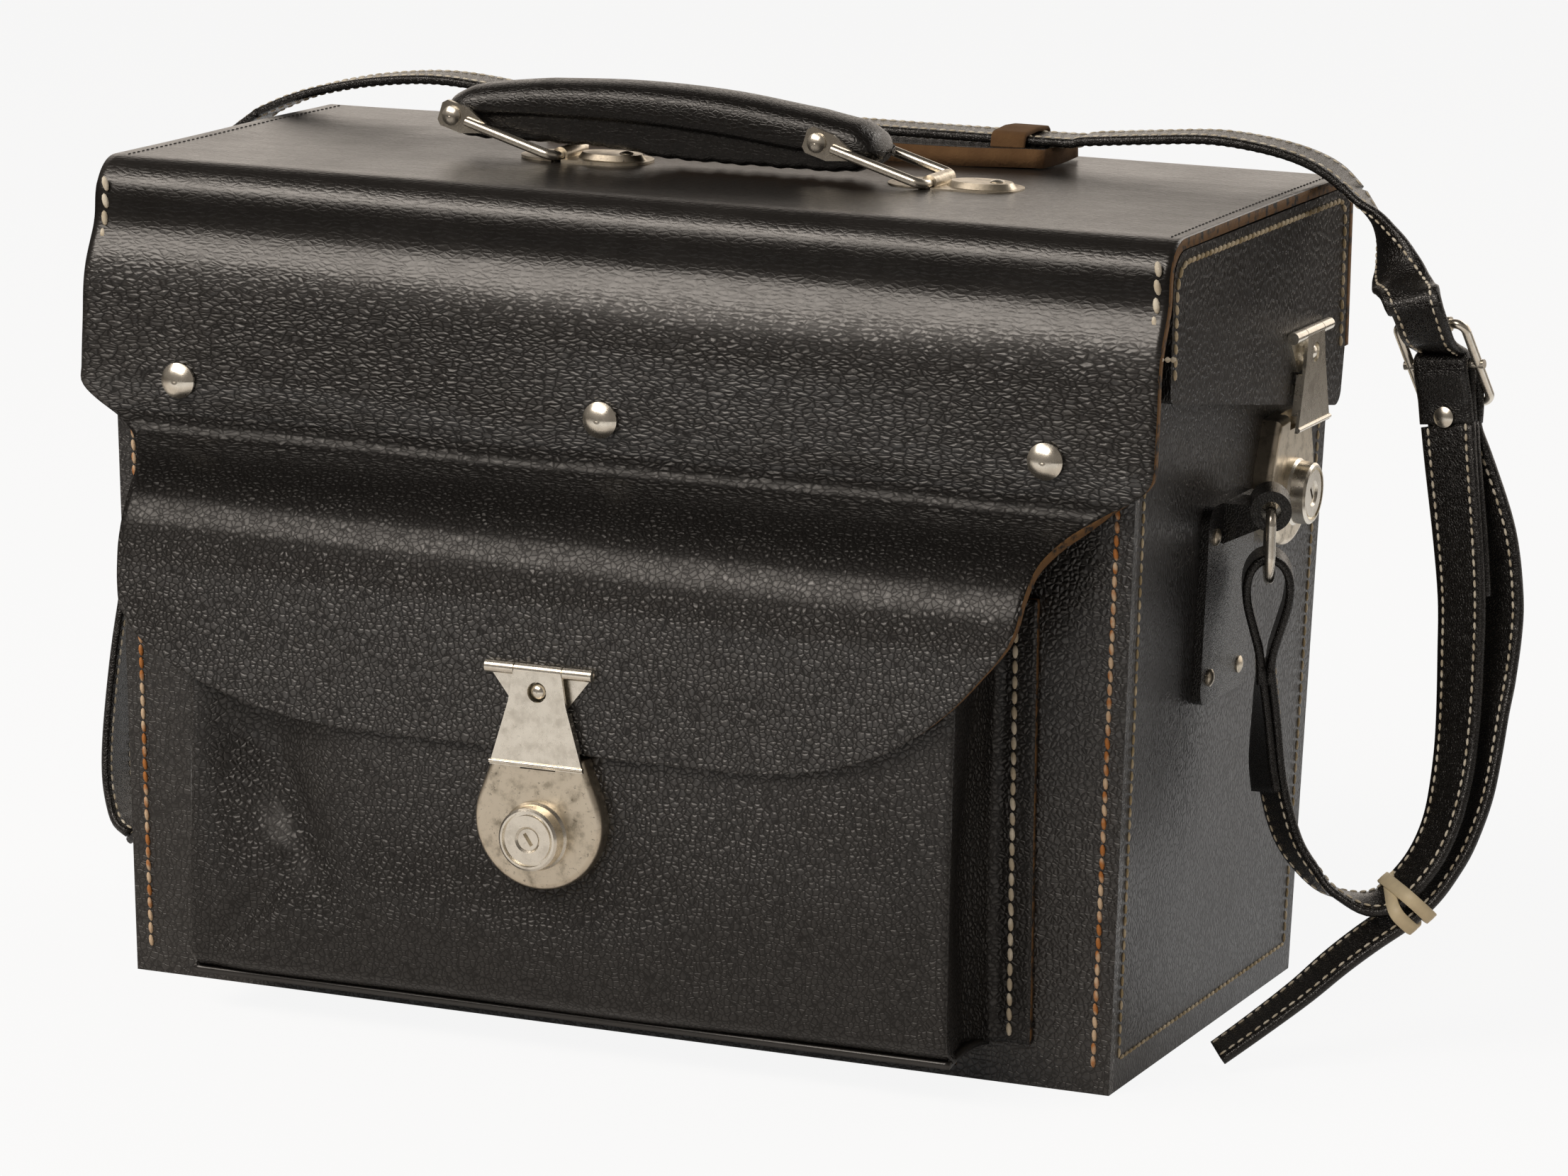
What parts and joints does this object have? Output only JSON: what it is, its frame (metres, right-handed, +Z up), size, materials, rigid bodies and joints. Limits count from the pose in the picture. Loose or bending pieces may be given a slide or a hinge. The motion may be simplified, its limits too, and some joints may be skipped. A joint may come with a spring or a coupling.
{
  "type": "camera case",
  "caption": "Hard leather camera case with a deep hinged lid, front flap over a gusseted pocket, key-lock hasps, folding carrying handle and a shoulder strap with buckle",
  "frame": {"origin": "centre of the case's flat underside, on the surface it stands on", "axes": "+X to the right seen from the front, +Y to the back, +Z up; the front with the pocket faces -Y"},
  "size_m": [0.5373, 0.2507, 0.3183],
  "materials": {
    "black_leather": "pebbled black leather",
    "strap_leather": "smooth black leather",
    "nickel": "worn nickel plate",
    "dark_lining": "short pile lining",
    "board": "leather over board",
    "rubber": "ivory rubber"
  },
  "bodies": {
    "case": {"front_panel": "board", "back_panel": "board", "right_side_panel": "board", "left_side_panel": "board", "bottom_panel": "board", "case_lining": "dark_lining", "pocket_gusset": "black_leather", "pocket_front": "black_leather", "front_lock_case": "nickel", "front_lock_barrel": "nickel", "right_lock_case": "nickel", "right_lock_barrel": "nickel", "left_lock_case": "nickel", "left_lock_barrel": "nickel", "right_strap_tab": "strap_leather", "left_strap_tab": "strap_leather", "tab_rivets": "nickel", "strap_left_run": "strap_leather", "strap_right_run": "strap_leather", "buckle_strap": "strap_leather", "buckle_frame": "nickel", "buckle_rivet": "nickel", "rubber_band": "rubber"},
    "lid": {"lid_cover": "black_leather", "right_lid_skirt": "black_leather", "left_lid_skirt": "black_leather", "lid_lining": "dark_lining", "lid_studs": "nickel", "right_hasp_plate": "nickel", "left_hasp_plate": "nickel", "right_hasp_pin": "nickel", "left_hasp_pin": "nickel", "side_hasp_rivets": "nickel", "left_handle_plate": "nickel", "right_handle_plate": "nickel", "handle_plate_rivets": "nickel", "strap_over_lid": "strap_leather", "shoulder_pad": "strap_leather"},
    "flap": {"front_flap": "black_leather", "front_hasp_plate": "nickel", "front_hasp_pin": "nickel", "front_hasp_rivet": "nickel"},
    "front_hasp": {"front_hasp": "nickel"},
    "right_hasp": {"right_hasp": "nickel"},
    "left_hasp": {"left_hasp": "nickel"},
    "front_plug": {"front_lock_plug": "nickel"},
    "right_plug": {"right_lock_plug": "nickel"},
    "left_plug": {"left_lock_plug": "nickel"},
    "left_bail": {"left_bail": "nickel"},
    "grip": {"handle_grip": "strap_leather", "grip_rivets": "nickel"},
    "right_bail": {"right_bail": "nickel"},
    "right_ring": {"right_strap_ring": "nickel"},
    "left_ring": {"left_strap_ring": "nickel"},
    "prong": {"buckle_prong": "nickel"}
  },
  "joints": [
    {"name": "lid_hinge", "type": "hinge", "parent": "case", "child": "lid", "pos_m": [0, 0.0915, 0.228], "axis": [-1, 0, 0], "range_deg": [0, 95]},
    {"name": "flap_hinge", "type": "hinge", "parent": "lid", "child": "flap", "pos_m": [0, -0.10525, 0.204], "axis": [-1, 0, 0], "range_deg": [0, 100]},
    {"name": "front_hasp_hinge", "type": "hinge", "parent": "flap", "child": "front_hasp", "pos_m": [-0.005, -0.1432, 0.136], "axis": [-1, 0, 0], "range_deg": [0, 110]},
    {"name": "right_hasp_hinge", "type": "hinge", "parent": "lid", "child": "right_hasp", "pos_m": [0.1998, 0.045, 0.2405], "axis": [0, -1, 0], "range_deg": [0, 85]},
    {"name": "left_hasp_hinge", "type": "hinge", "parent": "lid", "child": "left_hasp", "pos_m": [-0.1998, 0.045, 0.2405], "axis": [0, 1, 0], "range_deg": [0, 85]},
    {"name": "front_plug_turn", "type": "hinge", "parent": "case", "child": "front_plug", "pos_m": [-0.005, -0.137, 0.0795], "axis": [0, -1, 0], "range_deg": [0, 90]},
    {"name": "right_plug_turn", "type": "hinge", "parent": "case", "child": "right_plug", "pos_m": [0.18816, 0.045, 0.184], "axis": [0.9997, 0, -0.0253], "range_deg": [0, 90]},
    {"name": "left_plug_turn", "type": "hinge", "parent": "case", "child": "left_plug", "pos_m": [-0.18816, 0.045, 0.184], "axis": [-0.9997, 0, -0.0253], "range_deg": [0, 90]},
    {"name": "left_bail_hinge", "type": "hinge", "parent": "lid", "child": "left_bail", "pos_m": [-0.05575, -0.012, 0.2915], "axis": [0, 1, 0], "range_deg": [0, 100]},
    {"name": "grip_hinge", "type": "hinge", "parent": "left_bail", "child": "grip", "pos_m": [-0.09525, -0.012, 0.3033], "axis": [0, 1, 0], "range_deg": [-100, 0]},
    {"name": "right_bail_hinge", "type": "hinge", "parent": "lid", "child": "right_bail", "pos_m": [0.08275, -0.012, 0.2915], "axis": [0, 1, 0], "range_deg": [0, 100]},
    {"name": "right_ring_swing", "type": "hinge", "parent": "case", "child": "right_ring", "pos_m": [0.2045, -0.007, 0.188], "axis": [-0.342, 0.9397, 0], "range_deg": [-6, 6]},
    {"name": "left_ring_swing", "type": "hinge", "parent": "case", "child": "left_ring", "pos_m": [-0.2045, -0.007, 0.188], "axis": [0.342, 0.9397, 0], "range_deg": [-6, 6]},
    {"name": "prong_hinge", "type": "hinge", "parent": "case", "child": "prong", "pos_m": [0.2513, 0.0345, 0.2345], "axis": [0.9854, -0.121, 0.12], "range_deg": [-55, 0]}
  ],
  "couplings": [
    {"joint": "grip_hinge", "follows": "left_bail_hinge", "ratio": -1},
    {"joint": "right_bail_hinge", "follows": "left_bail_hinge", "ratio": 1}
  ]
}
